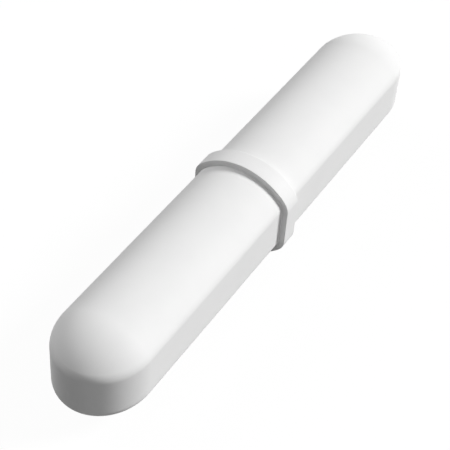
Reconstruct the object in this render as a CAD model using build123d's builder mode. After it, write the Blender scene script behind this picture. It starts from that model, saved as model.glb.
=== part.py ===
"""Magnetic stir bar, 50 x 8 mm class, with a pivot ring moulded round its middle.

The bar lies along X and spins about Z. The origin is the lowest point of the pivot ring,
below the middle of the bar, where the ring touches the floor of the vessel.
"""

import os

from build123d import *

# Jacket: overall size and section
bar_length = 49.4
bar_width = 8.0
bar_height = 8.1
crown_rise = 2.0
corner_radius = 1.1
end_length = 4.6

# Pivot ring, one moulding with the jacket
ring_rise = 0.52
ring_width = 1.7
ring_edge_radius = 0.05

# Magnet, with the jacket's wall beside it and beyond its ends
side_wall = 1.25
end_wall = 3.8
magnet_clearance = 0.05
magnet_edge_chamfer = 0.3

# Sizes and places worked out from those above
straight_length = bar_length - 2 * end_length
end_stretch = end_length / (bar_width / 2)
crown_radius = ((bar_width / 2) ** 2 + crown_rise**2) / (2 * crown_rise)
magnet_diameter = min(bar_width, bar_height) - 2 * (side_wall + magnet_clearance)
magnet_length = bar_length - 2 * (end_wall + magnet_clearance)
axis_height = bar_height / 2 + ring_rise
across_bar = Plane((0, 0, axis_height), x_dir=(0, 1, 0), z_dir=(1, 0, 0))


def crowned_section(rise):
    """Section of the bar, grown by a rise all round: flat sides, arched top and bottom, round corners."""
    half_width = bar_width / 2 + rise
    half_height = bar_height / 2 + rise
    crown = crown_radius + rise
    corner_height = half_height - crown + (crown**2 - half_width**2) ** 0.5
    with BuildSketch() as section:
        with BuildLine():
            ThreePointArc((-half_width, corner_height), (0, half_height), (half_width, corner_height))
            Line((half_width, corner_height), (half_width, -corner_height))
            ThreePointArc((half_width, -corner_height), (0, -half_height), (-half_width, -corner_height))
            Line((-half_width, -corner_height), (-half_width, corner_height))
        make_face()
        fillet(section.vertices(), radius=corner_radius + rise)
    return section.sketch


os.makedirs("parts", exist_ok=True)

# Magnet: a cast rod with its end edges broken
with BuildPart() as magnet:
    with Locations(across_bar):
        Cylinder(radius=magnet_diameter / 2, height=magnet_length)
    chamfer(magnet.edges().filter_by(GeomType.CIRCLE), length=magnet_edge_chamfer)
magnet.part.label = "bar_magnet"
export_step(magnet.part, "parts/bar_magnet.step")

# One domed end: half a turn of the section about the spin axis, stretched along the bar
with BuildPart() as domed_end:
    with BuildSketch(across_bar):
        add(crowned_section(0))
        split(bisect_by=Plane.YZ)
    revolve(axis=Axis.Z, revolution_arc=180)
    scale(by=(end_stretch, 1, 1))

# Jacket: ring, straight body and domed ends in one moulding, closed round the magnet
with BuildPart() as jacket:
    with BuildSketch(across_bar):
        add(crowned_section(ring_rise))
    extrude(amount=ring_width / 2, both=True)
    ring_faces = jacket.faces().filter_by(Axis.X)
    fillet(ring_faces.edges(), radius=ring_edge_radius)
    with BuildSketch(across_bar):
        add(crowned_section(0))
    extrude(amount=straight_length / 2, both=True)
    with Locations((-straight_length / 2, 0, 0)):
        near_end = add(domed_end.part)
    mirror(near_end, about=Plane.YZ)
    offset(magnet.part, amount=magnet_clearance, kind=Kind.INTERSECTION, mode=Mode.SUBTRACT)
jacket.part.label = "ptfe_jacket"
export_step(jacket.part, "parts/ptfe_jacket.step")
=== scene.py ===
"""Looks of a magnetic stir bar: a white moulded jacket with a pivot ring, closed round a bar magnet.

Laid out as an add-on and run as a script. Lengths are metres, in the part's own frame: the bar lies
along X, Z is up, and the origin is the lowest point of the pivot ring.
"""

import math
from collections import namedtuple

import bpy
import numpy as np
from bpy.props import FloatProperty, FloatVectorProperty, IntProperty, PointerProperty
from mathutils import Matrix, Vector


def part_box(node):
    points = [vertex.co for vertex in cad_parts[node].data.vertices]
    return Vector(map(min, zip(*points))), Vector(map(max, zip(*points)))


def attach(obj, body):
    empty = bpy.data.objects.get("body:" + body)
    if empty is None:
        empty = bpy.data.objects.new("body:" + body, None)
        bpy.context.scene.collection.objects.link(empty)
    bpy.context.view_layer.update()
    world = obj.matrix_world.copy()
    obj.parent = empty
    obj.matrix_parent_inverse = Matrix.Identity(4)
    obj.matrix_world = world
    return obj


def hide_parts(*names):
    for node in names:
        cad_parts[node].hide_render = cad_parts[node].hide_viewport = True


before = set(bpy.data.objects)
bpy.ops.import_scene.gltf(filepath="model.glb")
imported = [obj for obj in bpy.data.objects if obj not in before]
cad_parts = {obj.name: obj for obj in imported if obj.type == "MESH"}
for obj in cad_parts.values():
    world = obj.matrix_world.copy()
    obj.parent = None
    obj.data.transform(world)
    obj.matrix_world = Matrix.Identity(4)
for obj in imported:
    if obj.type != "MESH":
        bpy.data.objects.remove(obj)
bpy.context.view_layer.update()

bl_info = {
    "name": "Stir bar",
    "version": (1, 0, 0),
    "blender": (4, 5, 0),
    "location": "View3D > Sidebar > Stir bar",
    "description": "Builds the jacket, the magnet's finish and the stage of a magnetic stir bar",
    "category": "Add Mesh",
}

JACKET_LOW, JACKET_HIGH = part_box("ptfe_jacket")
JACKET_SIZE = JACKET_HIGH - JACKET_LOW
MAGNET_LOW, MAGNET_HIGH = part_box("bar_magnet")
MAGNET_SIZE = MAGNET_HIGH - MAGNET_LOW

# The ring stands proud of the bar all round, so it alone sets the width and height of the jacket's box
RING_RISE = 0.00052

# Points closer than this are one point of a mesh, and the phase keeps round numbers off the grid's lines
WELD = 1e-7
WELD_PHASE = 0.3137

# Faces over half of the ring's own outline: up its wall, round its edge and across to its middle
RING_WALL_STEPS = 4
RING_EDGE_STEPS = 8
RING_TOP_STEPS = 4

# Faces along each part of the cavity's wall, and faces round the cavity and round the floor
CAVITY_STEPS = (4, 2, 24, 2, 4)
ROUND_STEPS = 96

# The floor lies a hair under the ring, and has this many faces from its middle to its rim
FLOOR_DROP = 1e-5
FLOOR_STEPS = 4

# The floor's own white leaves room for this share of the lamps' light, which keeps the open floor at white
LIT_ROOM = 0.9

# Width of the camera's sensor in millimetres, and the nearest and furthest distance that the camera shows
SENSOR_WIDTH = 36.0
NEAREST_SHOWN = 0.005
FURTHEST_SHOWN = 10.0

# Scuffs lie this share of a cloud's size apart
SCUFF_SHARE = 0.4

LAMPS = ("key", "back", "front")

# A patch is a grid of points, each with its outward normal and how rubbed it is. A section is a line of
# points across the bar, each with its distance from the middle, its height and the turn of its normal.
Patch = namedtuple("Patch", "points normals rubbed")
Section = namedtuple("Section", "out up turn")


class StirBarJacketSettings(bpy.types.PropertyGroup):
    """Sizes and finish of the moulded jacket"""

    bar_length: FloatProperty(
        name="Bar length",
        description="Length over both domed ends",
        default=JACKET_SIZE.x,
        unit="LENGTH",
    )
    bar_width: FloatProperty(
        name="Bar width",
        description="Width across the flat sides, beside the ring",
        default=JACKET_SIZE.y - 2 * RING_RISE,
        unit="LENGTH",
    )
    bar_height: FloatProperty(
        name="Bar height",
        description="Height from the middle of the underside to the middle of the top, beside the ring",
        default=JACKET_SIZE.z - 2 * RING_RISE,
        unit="LENGTH",
    )
    crown_rise: FloatProperty(
        name="Crown rise",
        description="How far the arch of the top and of the underside rises over the bar's width",
        default=0.002,
        unit="LENGTH",
    )
    corner_radius: FloatProperty(
        name="Corner radius",
        description="Radius between an arch and a flat side",
        default=0.0011,
        unit="LENGTH",
    )
    end_length: FloatProperty(
        name="End length",
        description="Length of one domed end",
        default=0.0046,
        unit="LENGTH",
    )
    ring_rise: FloatProperty(
        name="Ring rise",
        description="How far the pivot ring stands proud of the bar",
        default=RING_RISE,
        unit="LENGTH",
    )
    ring_width: FloatProperty(
        name="Ring width",
        description="Width of the pivot ring along the bar",
        default=0.0017,
        unit="LENGTH",
    )
    ring_edge_radius: FloatProperty(
        name="Ring edge radius",
        description="Radius of the ring's two outer edges",
        default=0.00005,
        unit="LENGTH",
    )
    cavity_gap: FloatProperty(
        name="Cavity gap",
        description="Gap between the magnet and the wall of its cavity",
        default=0.00005,
        unit="LENGTH",
    )
    cavity_chamfer: FloatProperty(
        name="Cavity chamfer",
        description="Size of the magnet's broken end edges, which the cavity follows",
        default=0.0003,
        unit="LENGTH",
    )
    body_steps: IntProperty(
        name="Body steps",
        description="Faces along the bar from the ring to one domed end",
        default=48,
        min=1,
    )
    crown_steps: IntProperty(
        name="Crown steps",
        description="Faces over half of one arch",
        default=28,
        min=4,
    )
    corner_steps: IntProperty(
        name="Corner steps",
        description="Faces round one corner",
        default=12,
        min=3,
    )
    end_steps: IntProperty(
        name="End steps",
        description="Faces round one domed end",
        default=64,
        min=8,
    )
    clear_white: FloatVectorProperty(
        name="Clear white",
        description="Colour of the dense, clean polymer",
        default=(0.872, 0.872, 0.87),
        subtype="COLOR",
        min=0.0,
        max=1.0,
    )
    cloud_white: FloatVectorProperty(
        name="Cloud white",
        description="Colour of the slightly greyer clouds in the pressed polymer",
        default=(0.856, 0.856, 0.855),
        subtype="COLOR",
        min=0.0,
        max=1.0,
    )
    cloud_size: FloatProperty(
        name="Cloud size",
        description="Size of the clouds in the pressed polymer",
        default=0.0035,
        unit="LENGTH",
    )
    grain_size: FloatProperty(
        name="Grain size",
        description="Size of the fine grain that the sintered powder leaves",
        default=0.00022,
        unit="LENGTH",
    )
    grain_depth: FloatProperty(
        name="Grain depth",
        description="Depth of the fine grain",
        default=0.0000015,
        unit="LENGTH",
    )


class StirBarMagnetSettings(bpy.types.PropertyGroup):
    """Finish of the cast magnet inside the jacket"""

    ground_metal: FloatVectorProperty(
        name="Ground metal",
        description="Colour of the ground alloy",
        default=(0.33, 0.33, 0.34),
        subtype="COLOR",
        min=0.0,
        max=1.0,
    )
    cast_metal: FloatVectorProperty(
        name="Cast metal",
        description="Colour of the darker cast skin left in the low spots",
        default=(0.19, 0.19, 0.2),
        subtype="COLOR",
        min=0.0,
        max=1.0,
    )
    cloud_size: FloatProperty(
        name="Low spot size",
        description="Size of the low spots that grinding left dark",
        default=0.0024,
        unit="LENGTH",
    )
    grain_size: FloatProperty(
        name="Grain size",
        description="Size of the casting's grain",
        default=0.0003,
        unit="LENGTH",
    )
    line_pitch: FloatProperty(
        name="Grinding line pitch",
        description="Distance between the grinding lines round the rod",
        default=0.00012,
        unit="LENGTH",
    )
    grain_depth: FloatProperty(
        name="Grain depth",
        description="Depth of the grain and the grinding lines",
        default=0.000004,
        unit="LENGTH",
    )


class StirBarStageSettings(bpy.types.PropertyGroup):
    """Floor, light and camera"""

    camera_azimuth: FloatProperty(
        name="Camera azimuth",
        description="Turn of the camera round Z, from looking along +Y",
        default=math.radians(-61.513),
        subtype="ANGLE",
    )
    camera_elevation: FloatProperty(
        name="Camera elevation",
        description="Height of the camera over the horizon",
        default=math.radians(44.664),
        subtype="ANGLE",
    )
    camera_roll: FloatProperty(
        name="Camera roll",
        description="Turn of the camera about its line of sight",
        default=math.radians(4.627),
        subtype="ANGLE",
    )
    camera_distance: FloatProperty(
        name="Camera distance",
        description="Distance from the camera to the point in the middle of the picture",
        default=0.11324,
        unit="LENGTH",
    )
    camera_target: FloatVectorProperty(
        name="Camera target",
        description="Point in the middle of the picture",
        default=(-0.000817, 0.001255, 0.001686),
        subtype="TRANSLATION",
    )
    camera_lens: FloatProperty(
        name="Lens",
        description="Focal length in millimetres",
        default=105.021,
    )
    key_direction: FloatVectorProperty(
        name="Key direction",
        description="Direction from the bar to the key lamp, low beside its far end",
        default=(0.555, -0.616, 0.559),
        subtype="DIRECTION",
    )
    key_spread: FloatProperty(
        name="Key spread",
        description="Half angle of the key lamp's disc, seen from the bar",
        default=math.radians(9),
        subtype="ANGLE",
    )
    key_level: FloatProperty(
        name="Key level",
        description="How bright the key lamp alone makes a white card that faces it, with 1 for white",
        default=0.985,
    )
    back_direction: FloatVectorProperty(
        name="Back fill direction",
        description="Direction from the bar to the soft fill lamp on its other side",
        default=(0.090, 0.852, 0.515),
        subtype="DIRECTION",
    )
    back_spread: FloatProperty(
        name="Back fill spread",
        description="Half angle of the back fill lamp's disc, seen from the bar",
        default=math.radians(22),
        subtype="ANGLE",
    )
    back_level: FloatProperty(
        name="Back fill level",
        description="How bright the back fill lamp alone makes a white card that faces it, with 1 for white",
        default=0.405,
    )
    front_direction: FloatVectorProperty(
        name="Front fill direction",
        description="Direction from the bar to the soft fill lamp beside the camera",
        default=(-0.506, -0.723, 0.469),
        subtype="DIRECTION",
    )
    front_spread: FloatProperty(
        name="Front fill spread",
        description="Half angle of the front fill lamp's disc, seen from the bar",
        default=math.radians(25),
        subtype="ANGLE",
    )
    front_level: FloatProperty(
        name="Front fill level",
        description="How bright the front fill lamp alone makes a white card that faces it, with 1 for white",
        default=0.145,
    )
    lamp_distance: FloatProperty(
        name="Lamp distance",
        description="Distance from the bar to each lamp",
        default=4.0,
        unit="LENGTH",
    )
    ambient_level: FloatProperty(
        name="Ambient level",
        description="How bright the even surround alone makes a white card that faces the sky",
        default=0.09,
    )
    floor_radius: FloatProperty(
        name="Floor radius",
        description="Radius of the round floor",
        default=0.8,
        unit="LENGTH",
    )
    floor_bounce: FloatProperty(
        name="Floor bounce",
        description="Share of the light on the floor that it sends back to the bar",
        default=0.14,
        subtype="FACTOR",
        min=0.0,
        max=1.0,
    )
    shadow_share: FloatProperty(
        name="Shadow share",
        description="Share of the floor's look that darkens in the bar's shadow",
        default=0.05,
        subtype="FACTOR",
        min=0.0,
        max=1.0,
    )


def half_section(jacket):
    """Half of the bar's section, from the middle of the top round one side to the middle of the underside.

    A direction turns from straight up to straight out. Up to the corner, a point is the crown's centre plus
    the crown's radius times the direction. From there it is the corner's centre plus the corner's radius
    times the direction. A straight run down the flat side follows, and the lower half mirrors the upper one.
    Gives each point's distance from the middle, its height from the axis and the turn of its direction,
    which is the section's outward normal.
    """
    half_width = jacket.bar_width / 2
    half_height = jacket.bar_height / 2
    crown_radius = (half_width**2 + jacket.crown_rise**2) / (2 * jacket.crown_rise)
    crown_up = half_height - crown_radius
    corner_out = half_width - jacket.corner_radius
    reach = crown_radius - jacket.corner_radius
    corner_up = crown_up + math.sqrt(reach**2 - corner_out**2)
    corner_turn = math.asin(corner_out / reach)

    crown = np.linspace(0, corner_turn, jacket.crown_steps + 1)
    corner = np.linspace(corner_turn, math.pi / 2, jacket.corner_steps + 1)[1:]
    flat = np.linspace(corner_up, 0, jacket.corner_steps // 2 + 1)[1:]
    out = np.concatenate([
        crown_radius * np.sin(crown),
        corner_out + jacket.corner_radius * np.sin(corner),
        np.full(len(flat), half_width),
    ])
    up = np.concatenate([
        crown_up + crown_radius * np.cos(crown),
        corner_up + jacket.corner_radius * np.cos(corner),
        flat,
    ])
    turn = np.concatenate([crown, corner, np.full(len(flat), math.pi / 2)])
    return Section(
        np.concatenate([out, out[-2::-1]]),
        np.concatenate([up, -up[-2::-1]]),
        np.concatenate([turn, math.pi - turn[-2::-1]]),
    )


def swept_patch(section, axis_height, along, rise, lean):
    """The bar's section carried along X, grown at each station by a rise.

    A point is the section's point moved out by the rise along the section's own normal. Its normal is the
    section's normal leaned towards X. The ring is as rubbed as it is high.
    """
    out = np.concatenate([section.out, -section.out[-2::-1]])
    up = np.concatenate([section.up, section.up[-2::-1]])
    turn = np.concatenate([section.turn, -section.turn[-2::-1]])
    along, rise, lean = along[:, None], rise[:, None], lean[:, None]
    points = np.stack(np.broadcast_arrays(
        along,
        out + rise * np.sin(turn),
        axis_height + up + rise * np.cos(turn),
    ), axis=-1)
    normals = np.stack(np.broadcast_arrays(
        np.sin(lean),
        np.cos(lean) * np.sin(turn),
        np.cos(lean) * np.cos(turn),
    ), axis=-1)
    return Patch(points, normals, np.broadcast_to(rise / RING_RISE, points.shape[:2]))


def ring_stations(jacket):
    """The ring's own outline along X: up one wall, round its edge, across, round the other edge and down.

    Gives the place along X, the rise over the bar and the lean of the normal towards X of each station.
    """
    half = jacket.ring_width / 2
    edge = jacket.ring_edge_radius
    wall = np.linspace(0, jacket.ring_rise - edge, RING_WALL_STEPS + 1)[:-1]
    turn = np.linspace(math.pi / 2, 0, RING_EDGE_STEPS + 1)
    across = np.linspace(edge - half, 0, RING_TOP_STEPS + 1)[1:]
    along = np.concatenate([np.full(len(wall), -half), edge - half - edge * np.sin(turn), across])
    rise = np.concatenate([
        wall,
        jacket.ring_rise - edge + edge * np.cos(turn),
        np.full(len(across), jacket.ring_rise),
    ])
    lean = -np.concatenate([np.full(len(wall), math.pi / 2), turn, np.zeros(len(across))])
    return (
        np.concatenate([along, -along[-2::-1]]),
        np.concatenate([rise, rise[-2::-1]]),
        np.concatenate([lean, -lean[-2::-1]]),
    )


def dome_patch(jacket, section, axis_height, side):
    """One domed end: the half section swung half a turn about an upright axis and stretched along X.

    At each swing the section's distance from the middle splits into a share along X, its cosine times the
    stretch, and a share along Y, its sine. The normal's share along X is divided by the same stretch.
    """
    start = jacket.bar_length / 2 - jacket.end_length
    stretch = jacket.end_length / (jacket.bar_width / 2)
    swing = np.linspace(-math.pi / 2, math.pi / 2, jacket.end_steps + 1)[:, None]
    points = np.stack(np.broadcast_arrays(
        side * (start + stretch * section.out * np.cos(swing)),
        section.out * np.sin(swing),
        axis_height + section.up,
    ), axis=-1)
    normals = np.stack(np.broadcast_arrays(
        side * np.sin(section.turn) * np.cos(swing) / stretch,
        np.sin(section.turn) * np.sin(swing),
        np.cos(section.turn),
    ), axis=-1)
    normals = normals / np.linalg.norm(normals, axis=-1, keepdims=True)
    return Patch(points, normals, np.zeros(points.shape[:2]))


def turned_patch(axis_height, along, radius, facing):
    """A straight line between two stations, turned about the bar's axis.

    A point is its station along X with its radius swung once round. The normal is the line's own normal,
    swung with it and facing to the outside, or with facing -1 to the axis.
    """
    swing = np.linspace(0, 2 * math.pi, ROUND_STEPS + 1)
    slope = math.atan2(radius[0] - radius[-1], along[-1] - along[0])
    points = np.stack(np.broadcast_arrays(
        along[:, None],
        radius[:, None] * np.cos(swing),
        axis_height + radius[:, None] * np.sin(swing),
    ), axis=-1)
    normals = np.stack(np.broadcast_arrays(
        facing * math.sin(slope) + 0 * along[:, None],
        facing * math.cos(slope) * np.cos(swing),
        facing * math.cos(slope) * np.sin(swing),
    ), axis=-1)
    return Patch(points, normals, np.zeros(points.shape[:2]))


def cavity_patches(jacket, axis_height):
    """The wall of the magnet's cavity: a disc, a chamfer, a barrel, a chamfer and a disc on one axis.

    The cavity follows the magnet at the gap. Measured square to a chamfer, that gap makes the cavity's
    chamfer larger than the magnet's by the gap times 2 minus the square root of 2.
    """
    half = MAGNET_SIZE.x / 2 + jacket.cavity_gap
    radius = MAGNET_SIZE.y / 2 + jacket.cavity_gap
    chamfer = jacket.cavity_chamfer + jacket.cavity_gap * (2 - math.sqrt(2))
    corners = [
        (-half, 0.0),
        (-half, radius - chamfer),
        (chamfer - half, radius),
        (half - chamfer, radius),
        (half, radius - chamfer),
        (half, 0.0),
    ]
    return [
        turned_patch(
            axis_height,
            np.linspace(start[0], end[0], count + 1),
            np.linspace(start[1], end[1], count + 1),
            facing=-1,
        )
        for start, end, count in zip(corners, corners[1:], CAVITY_STEPS)
    ]


def patch_faces(patch, first):
    """Corner numbers of a patch's faces, counted from the first.

    They are wound so that the faces point as the patch's normals do.
    """
    rows, columns = patch.points.shape[:2]
    number = first + np.arange(rows * columns).reshape(rows, columns)
    corners = np.stack([number[:-1, :-1], number[:-1, 1:], number[1:, 1:], number[1:, :-1]], axis=-1)
    across = patch.points[1:, 1:] - patch.points[:-1, :-1]
    back = patch.points[1:, :-1] - patch.points[:-1, 1:]
    facing = np.sum(np.cross(across, back) * patch.normals[:-1, :-1])
    if facing < 0:
        corners = corners[..., ::-1]
    return corners.reshape(-1, 4)


def mesh_from_patches(name, patches):
    """One closed mesh from patches that share their borders.

    Points that fall in one cell of a very fine grid become one vertex. A corner that falls together with
    the next one is left out, so a face at a pole becomes a triangle. Each corner keeps its patch's normal.
    """
    starts = np.cumsum([0] + [patch.points[..., 0].size for patch in patches])
    points = np.concatenate([patch.points.reshape(-1, 3) for patch in patches])
    normals = np.concatenate([patch.normals.reshape(-1, 3) for patch in patches])
    rubbed = np.concatenate([np.ravel(patch.rubbed) for patch in patches])
    faces = np.concatenate([patch_faces(patch, start) for patch, start in zip(patches, starts)])

    cells = np.floor(points / WELD + WELD_PHASE).astype(np.int64)
    kept, welded = np.unique(cells, axis=0, return_index=True, return_inverse=True)[1:]
    welded = welded.reshape(-1)
    corners = welded[faces]
    distinct = corners != np.roll(corners, -1, axis=1)
    distinct &= (distinct.sum(axis=1) > 2)[:, None]
    sides = distinct.sum(axis=1)
    sides = sides[sides > 0]

    mesh = bpy.data.meshes.new(name)
    mesh.vertices.add(len(kept))
    mesh.vertices.foreach_set("co", points[kept].astype(np.float32).ravel())
    mesh.loops.add(int(sides.sum()))
    mesh.loops.foreach_set("vertex_index", corners[distinct].astype(np.int32))
    mesh.polygons.add(len(sides))
    mesh.polygons.foreach_set("loop_start", (np.cumsum(sides) - sides).astype(np.int32))
    mesh.polygons.foreach_set("use_smooth", np.ones(len(sides), dtype=bool))
    mesh.update(calc_edges=True)
    if mesh.validate():
        raise RuntimeError(f"the faces of {name} don't make a clean mesh")
    mesh.normals_split_custom_set(normals[faces][distinct])
    mesh.attributes.new("rubbed", "FLOAT", "POINT").data.foreach_set("value", rubbed[kept].astype(np.float32))
    return mesh


def add_object(name, data):
    """An object at the origin, unturned and unscaled, in the scene."""
    made = bpy.data.objects.new(name, data)
    bpy.context.scene.collection.objects.link(made)
    return made


def add_node(tree, kind, place, **values):
    """A node of that kind at a place in the tree, with its own values set."""
    node = tree.nodes.new(kind)
    node.location = place
    for key, value in values.items():
        setattr(node, key, value)
    return node


def set_inputs(node, **values):
    """Sets a node's unlinked inputs. An underscore in a name stands for a space."""
    for key, value in values.items():
        node.inputs[key.replace("_", " ")].default_value = value


def join(tree, source, output, target, entry):
    """Links an output of one node to an input of another, each by its name or number."""
    tree.links.new(source.outputs[output], target.inputs[entry])


def map_range(tree, place, low, high, start, end):
    """A node that turns values from low to high into values from start to end, and holds them there."""
    node = add_node(tree, "ShaderNodeMapRange", place)
    set_inputs(node, From_Min=low, From_Max=high, To_Min=start, To_Max=end)
    return node


def grain_group():
    """Clouds, fine grain and hairline scuffs of a pressed or cast surface, each from 0 to 1.

    Clouds are broad noise with its middle range stretched. Grain is fine noise. A scuff is where
    stretched noise passes through its middle value, kept only where broad noise is high.
    """
    name = "Pressed grain"
    noise_middle = 0.5
    scuff_width = 0.006
    group = bpy.data.node_groups.get(name)
    if group:
        return group
    group = bpy.data.node_groups.new(name, "ShaderNodeTree")
    group.interface.new_socket("Vector", in_out="INPUT", socket_type="NodeSocketVector")
    for entry in ("Cloud Scale", "Grain Scale", "Scuff Scale"):
        group.interface.new_socket(entry, in_out="INPUT", socket_type="NodeSocketFloat")
    for output in ("Cloud", "Grain", "Scuff"):
        group.interface.new_socket(output, in_out="OUTPUT", socket_type="NodeSocketFloat")

    entry = add_node(group, "NodeGroupInput", (-900, 0))
    leave = add_node(group, "NodeGroupOutput", (700, 0))

    cloud = add_node(group, "ShaderNodeTexNoise", (-500, 300))
    set_inputs(cloud, Detail=4.0, Roughness=0.55)
    join(group, entry, "Vector", cloud, "Vector")
    join(group, entry, "Cloud Scale", cloud, "Scale")
    stretch = map_range(group, (-250, 300), low=0.34, high=0.66, start=0.0, end=1.0)
    join(group, cloud, "Fac", stretch, "Value")
    join(group, stretch, "Result", leave, "Cloud")

    grain = add_node(group, "ShaderNodeTexNoise", (-500, 0))
    set_inputs(grain, Detail=3.0, Roughness=0.6)
    join(group, entry, "Vector", grain, "Vector")
    join(group, entry, "Grain Scale", grain, "Scale")
    join(group, grain, "Fac", leave, "Grain")

    turned = add_node(group, "ShaderNodeMapping", (-700, -300))
    set_inputs(turned, Rotation=(0.4, 0.7, 0.5), Scale=(0.12, 1.0, 1.3))
    join(group, entry, "Vector", turned, "Vector")
    scuff = add_node(group, "ShaderNodeTexNoise", (-500, -300))
    set_inputs(scuff, Detail=2.0, Roughness=0.5)
    join(group, turned, "Vector", scuff, "Vector")
    join(group, entry, "Scuff Scale", scuff, "Scale")
    middle = add_node(group, "ShaderNodeMath", (-250, -300), operation="COMPARE")
    middle.inputs[1].default_value = noise_middle
    middle.inputs[2].default_value = scuff_width
    join(group, scuff, "Fac", middle, 0)
    sparse = map_range(group, (-250, -550), low=0.52, high=0.66, start=0.0, end=1.0)
    join(group, cloud, "Fac", sparse, "Value")
    worn = add_node(group, "ShaderNodeMath", (0, -300), operation="MULTIPLY")
    join(group, middle, "Value", worn, 0)
    join(group, sparse, "Result", worn, 1)
    join(group, worn, "Value", leave, "Scuff")
    return group


def new_finish(name):
    """A material with an output, a Principled shader and Object coordinates, and its tree."""
    material = bpy.data.materials.new(name)
    material.use_nodes = True
    tree = material.node_tree
    tree.nodes.clear()
    shown = add_node(tree, "ShaderNodeOutputMaterial", (900, 0))
    shader = add_node(tree, "ShaderNodeBsdfPrincipled", (550, 0))
    join(tree, shader, "BSDF", shown, "Surface")
    place = add_node(tree, "ShaderNodeTexCoord", (-900, 0))
    grain = add_node(tree, "ShaderNodeGroup", (-650, 0), node_tree=grain_group())
    join(tree, place, "Object", grain, "Vector")
    return material, tree, shader, place, grain


def mix_colour(tree, place, first, second):
    """A node that blends two colours by its factor."""
    node = add_node(tree, "ShaderNodeMix", place, data_type="RGBA")
    node.inputs["A"].default_value = (*first, 1.0)
    node.inputs["B"].default_value = (*second, 1.0)
    return node


def pressed_white(jacket):
    """Waxy white fluoropolymer: faint clouds, a fine sintered grain, hairline scuffs and a rubbed ring.

    Clouds move the colour between two near whites. Grain moves the roughness, grain and scuffs move the
    height, and the ring is smoother the higher it stands.
    """
    material, tree, shader, _, grain = new_finish("pressed_white")
    set_inputs(
        grain,
        Cloud_Scale=1 / jacket.cloud_size,
        Grain_Scale=1 / jacket.grain_size,
        Scuff_Scale=1 / (SCUFF_SHARE * jacket.cloud_size),
    )
    set_inputs(shader, IOR=1.35, Specular_IOR_Level=0.3)

    white = mix_colour(tree, (250, 250), jacket.clear_white, jacket.cloud_white)
    join(tree, grain, "Cloud", white, "Factor")
    join(tree, white, "Result", shader, "Base Color")

    satin = map_range(tree, (-300, 0), low=0.3, high=0.7, start=0.54, end=0.64)
    join(tree, grain, "Grain", satin, "Value")
    rubbed = add_node(tree, "ShaderNodeAttribute", (-650, -300), attribute_name="rubbed")
    polish = map_range(tree, (-300, -300), low=0.6, high=1.0, start=0.0, end=-0.08)
    join(tree, rubbed, "Fac", polish, "Value")
    smooth = add_node(tree, "ShaderNodeMath", (0, -100), operation="ADD")
    join(tree, satin, "Result", smooth, 0)
    join(tree, polish, "Result", smooth, 1)
    join(tree, smooth, "Value", shader, "Roughness")

    scuff_height = -0.6
    relief = add_node(tree, "ShaderNodeMath", (0, -450), operation="MULTIPLY_ADD")
    relief.inputs[1].default_value = scuff_height
    join(tree, grain, "Scuff", relief, 0)
    join(tree, grain, "Grain", relief, 2)
    bump = add_node(tree, "ShaderNodeBump", (250, -400))
    set_inputs(bump, Strength=1.0, Distance=jacket.grain_depth)
    join(tree, relief, "Value", bump, "Height")
    join(tree, bump, "Normal", shader, "Normal")
    return material


def ground_alloy(magnet):
    """Cast magnet alloy, ground round its length: bright metal with dark low spots and fine grinding lines.

    Grinding lines are noise that changes quickly along X and slowly across it. Clouds uncover the darker
    cast skin, and lines and grain move the roughness and the height.
    """
    material, tree, shader, place, grain = new_finish("ground_alloy")
    set_inputs(
        grain,
        Cloud_Scale=1 / magnet.cloud_size,
        Grain_Scale=1 / magnet.grain_size,
    )
    set_inputs(shader, Metallic=1.0)

    lines_place = add_node(tree, "ShaderNodeMapping", (-650, -350))
    set_inputs(lines_place, Scale=(1.0, 0.03, 0.03))
    join(tree, place, "Object", lines_place, "Vector")
    lines = add_node(tree, "ShaderNodeTexNoise", (-450, -350))
    set_inputs(lines, Scale=1 / magnet.line_pitch, Detail=2.0)
    join(tree, lines_place, "Vector", lines, "Vector")

    low = add_node(tree, "ShaderNodeMath", (-200, 250), operation="MULTIPLY")
    join(tree, grain, "Cloud", low, 0)
    join(tree, grain, "Grain", low, 1)
    metal = mix_colour(tree, (250, 250), magnet.ground_metal, magnet.cast_metal)
    join(tree, low, "Value", metal, "Factor")
    join(tree, metal, "Result", shader, "Base Color")

    relief = add_node(tree, "ShaderNodeMath", (-200, -250), operation="ADD")
    join(tree, grain, "Grain", relief, 0)
    join(tree, lines, "Fac", relief, 1)
    rough = map_range(tree, (0, -100), low=0.7, high=1.3, start=0.32, end=0.56)
    join(tree, relief, "Value", rough, "Value")
    join(tree, rough, "Result", shader, "Roughness")
    bump = add_node(tree, "ShaderNodeBump", (250, -350))
    set_inputs(bump, Strength=1.0, Distance=magnet.grain_depth)
    join(tree, relief, "Value", bump, "Height")
    join(tree, bump, "Normal", shader, "Normal")
    return material


def seen_rays(tree):
    """A node that gives 1 to rays from the camera, a mirror or glass, and 0 to the light's own bounces."""
    path = add_node(tree, "ShaderNodeLightPath", (-700, 200))
    mirror = add_node(tree, "ShaderNodeMath", (-450, 200), operation="MAXIMUM")
    join(tree, path, "Is Camera Ray", mirror, 0)
    join(tree, path, "Is Glossy Ray", mirror, 1)
    seen = add_node(tree, "ShaderNodeMath", (-250, 200), operation="MAXIMUM")
    join(tree, mirror, "Value", seen, 0)
    join(tree, path, "Is Transmission Ray", seen, 1)
    return seen


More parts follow.
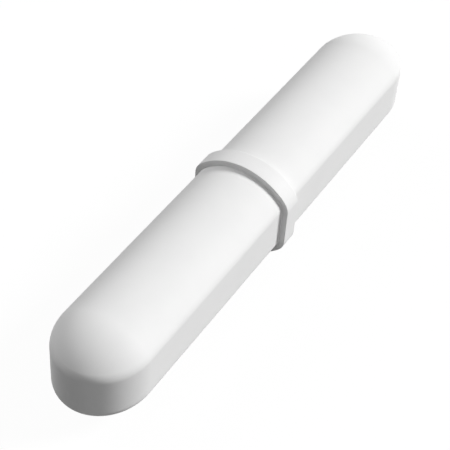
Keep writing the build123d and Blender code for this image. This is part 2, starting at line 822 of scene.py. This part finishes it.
def floor_paper(stage):
    """White paper: it looks white to the camera and darkens a little in the bar's shadow.

    Its look is plain white light plus a small share of lit white. Bounces of the light meet a grey matt
    surface, and from below the paper is clear.
    """
    material = bpy.data.materials.new("floor_paper")
    material.use_nodes = True
    tree = material.node_tree
    tree.nodes.clear()
    shown = add_node(tree, "ShaderNodeOutputMaterial", (700, 0))
    seen = seen_rays(tree)
    share = stage.shadow_share
    lit_level = stage.ambient_level + sum(
        lamp_value(stage, lamp, "level") * lamp_direction(stage, lamp).z for lamp in LAMPS
    )
    white = add_node(tree, "ShaderNodeEmission", (-250, -50))
    set_inputs(white, Color=(1.0, 1.0, 1.0, 1.0), Strength=1.0 - LIT_ROOM * share * lit_level)
    lit = add_node(tree, "ShaderNodeBsdfDiffuse", (-250, -200))
    set_inputs(lit, Color=(share, share, share, 1.0))
    look = add_node(tree, "ShaderNodeAddShader", (0, -50))
    join(tree, white, 0, look, 0)
    join(tree, lit, 0, look, 1)
    bounce = add_node(tree, "ShaderNodeBsdfDiffuse", (0, 150))
    set_inputs(bounce, Color=(stage.floor_bounce, stage.floor_bounce, stage.floor_bounce, 1.0))
    paper = add_node(tree, "ShaderNodeMixShader", (250, 50))
    join(tree, seen, "Value", paper, "Fac")
    join(tree, bounce, 0, paper, 1)
    join(tree, look, 0, paper, 2)
    side = add_node(tree, "ShaderNodeNewGeometry", (0, 400))
    clear = add_node(tree, "ShaderNodeBsdfTransparent", (250, -150))
    turned = add_node(tree, "ShaderNodeMixShader", (480, 0))
    join(tree, side, "Backfacing", turned, "Fac")
    join(tree, paper, 0, turned, 1)
    join(tree, clear, 0, turned, 2)
    join(tree, turned, 0, shown, "Surface")
    return material


def soft_sky(stage):
    """A white surround that lights the bar evenly at the ambient level."""
    world = bpy.data.worlds.new("soft_sky")
    world.use_nodes = True
    tree = world.node_tree
    tree.nodes.clear()
    shown = add_node(tree, "ShaderNodeOutputWorld", (400, 0))
    seen = seen_rays(tree)
    light = add_node(tree, "ShaderNodeBackground", (0, 0))
    set_inputs(light, Color=(1.0, 1.0, 1.0, 1.0), Strength=stage.ambient_level)
    white = add_node(tree, "ShaderNodeBackground", (0, -150))
    set_inputs(white, Color=(1.0, 1.0, 1.0, 1.0), Strength=1.0)
    sky = add_node(tree, "ShaderNodeMixShader", (200, 0))
    join(tree, seen, "Value", sky, "Fac")
    join(tree, light, 0, sky, 1)
    join(tree, white, 0, sky, 2)
    join(tree, sky, 0, shown, "Surface")
    return world


def floor_patch(stage):
    """A flat disc just under the ring: rings of points at even turns about Z."""
    radius = np.linspace(0, stage.floor_radius, FLOOR_STEPS + 1)[:, None]
    swing = np.linspace(0, 2 * math.pi, ROUND_STEPS + 1)
    points = np.stack(np.broadcast_arrays(
        radius * np.cos(swing),
        radius * np.sin(swing),
        -FLOOR_DROP,
    ), axis=-1)
    normals = np.zeros(points.shape)
    normals[..., 2] = 1.0
    return Patch(points, normals, np.zeros(points.shape[:2]))


def lamp_value(stage, lamp, kind):
    """One lamp's own setting of that kind."""
    return getattr(stage, f"{lamp}_{kind}")


def lamp_direction(stage, lamp):
    """Direction from the bar to a lamp, of length 1."""
    return Vector(lamp_value(stage, lamp, "direction")).normalized()


def soft_lamp(stage, lamp):
    """A round soft lamp that faces the bar.

    A disc that fills a cone of that spread lights a card that faces it at the level when its power is pi
    squared times the level times the square of the distance to the disc's rim.
    """
    towards = lamp_direction(stage, lamp)
    distance = stage.lamp_distance
    radius = distance * math.tan(lamp_value(stage, lamp, "spread"))
    disc = bpy.data.lights.new(f"{lamp}_lamp", "AREA")
    disc.shape = "DISK"
    disc.size = 2 * radius
    disc.energy = math.pi**2 * lamp_value(stage, lamp, "level") * (distance**2 + radius**2)
    made = add_object(f"{lamp}_lamp", disc)
    made.location = towards * distance
    made.rotation_mode = "QUATERNION"
    made.rotation_quaternion = towards.to_track_quat("Z", "Y")
    made.visible_camera = False
    return made


def picture_camera(stage):
    """The camera, turned about its line of sight after it is placed by azimuth, elevation and distance."""
    azimuth = stage.camera_azimuth
    elevation = stage.camera_elevation
    level = math.cos(elevation)
    back = Vector((math.sin(azimuth) * level, -math.cos(azimuth) * level, math.sin(elevation)))
    right = Vector((0, 0, 1)).cross(back).normalized()
    up = back.cross(right)
    lens = bpy.data.cameras.new("picture_camera")
    lens.sensor_fit = "HORIZONTAL"
    lens.sensor_width = SENSOR_WIDTH
    lens.lens = stage.camera_lens
    lens.clip_start = NEAREST_SHOWN
    lens.clip_end = FURTHEST_SHOWN
    camera = add_object("picture_camera", lens)
    turn = Matrix((right, up, back)).transposed() @ Matrix.Rotation(stage.camera_roll, 3, "Z")
    camera.matrix_world = Matrix.Translation(
        Vector(stage.camera_target) + back * stage.camera_distance
    ) @ turn.to_4x4()
    bpy.context.scene.camera = camera
    return camera


class STIRBAR_OT_stage(bpy.types.Operator):
    """Sets up the white floor, the soft light and the camera"""

    bl_idname = "stirbar.stage"
    bl_label = "Stage"

    def execute(self, context):
        stage = context.scene.stir_bar_stage
        floor = add_object("floor", mesh_from_patches("floor", [floor_patch(stage)]))
        floor.data.materials.append(floor_paper(stage))
        context.scene.world = soft_sky(stage)
        for lamp in LAMPS:
            soft_lamp(stage, lamp)
        picture_camera(stage)
        context.scene.view_settings.view_transform = "Standard"
        return {"FINISHED"}


class STIRBAR_OT_jacket(bpy.types.Operator):
    """Builds the white jacket with its ring, its domed ends and the cavity for the magnet"""

    bl_idname = "stirbar.jacket"
    bl_label = "Jacket and ring"

    def execute(self, context):
        settings = context.scene.stir_bar_jacket
        axis_height = (JACKET_LOW.z + JACKET_HIGH.z) / 2
        section = half_section(settings)
        dome_start = settings.bar_length / 2 - settings.end_length
        along = np.linspace(settings.ring_width / 2, dome_start, settings.body_steps + 1)
        bare = np.zeros(len(along))
        patches = [
            dome_patch(settings, section, axis_height, -1),
            swept_patch(section, axis_height, -along[::-1], bare, bare),
            swept_patch(section, axis_height, *ring_stations(settings)),
            swept_patch(section, axis_height, along, bare, bare),
            dome_patch(settings, section, axis_height, 1),
            *cavity_patches(settings, axis_height),
        ]
        jacket = add_object("jacket_skin", mesh_from_patches("jacket_skin", patches))
        jacket.data.materials.append(pressed_white(settings))
        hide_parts("ptfe_jacket")
        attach(jacket, "root")
        return {"FINISHED"}


class STIRBAR_OT_magnet(bpy.types.Operator):
    """Gives the magnet inside the jacket its ground metal finish"""

    bl_idname = "stirbar.magnet"
    bl_label = "Magnet finish"

    def execute(self, context):
        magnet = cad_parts["bar_magnet"]
        finish = ground_alloy(context.scene.stir_bar_magnet)
        magnet.data.materials.clear()
        magnet.data.materials.append(finish)
        return {"FINISHED"}


class STIRBAR_PT_panel(bpy.types.Panel):
    """Lists the steps that build the stir bar"""

    bl_idname = "STIRBAR_PT_panel"
    bl_label = "Stir bar"
    bl_space_type = "VIEW_3D"
    bl_region_type = "UI"
    bl_category = "Stir bar"

    def draw(self, context):
        for step in STEPS:
            self.layout.operator(step.bl_idname)
        for name in GROUPS:
            settings = getattr(context.scene, name)
            box = self.layout.box()
            for key in settings.bl_rna.properties.keys():
                if key not in {"rna_type", "name"}:
                    box.prop(settings, key)


STEPS = (STIRBAR_OT_stage, STIRBAR_OT_jacket, STIRBAR_OT_magnet)
GROUPS = {
    "stir_bar_stage": StirBarStageSettings,
    "stir_bar_jacket": StirBarJacketSettings,
    "stir_bar_magnet": StirBarMagnetSettings,
}
CLASSES = (*GROUPS.values(), *STEPS, STIRBAR_PT_panel)


def register():
    """Makes the settings, steps and panel known."""
    for cls in CLASSES:
        bpy.utils.register_class(cls)
    for name, settings in GROUPS.items():
        setattr(bpy.types.Scene, name, PointerProperty(type=settings))


def unregister():
    """Takes the settings, steps and panel away again."""
    for name in GROUPS:
        delattr(bpy.types.Scene, name)
    for cls in reversed(CLASSES):
        bpy.utils.unregister_class(cls)


def main():
    register()
    bpy.ops.stirbar.stage()
    bpy.ops.stirbar.jacket()
    bpy.ops.stirbar.magnet()


if __name__ == "__main__":
    main()
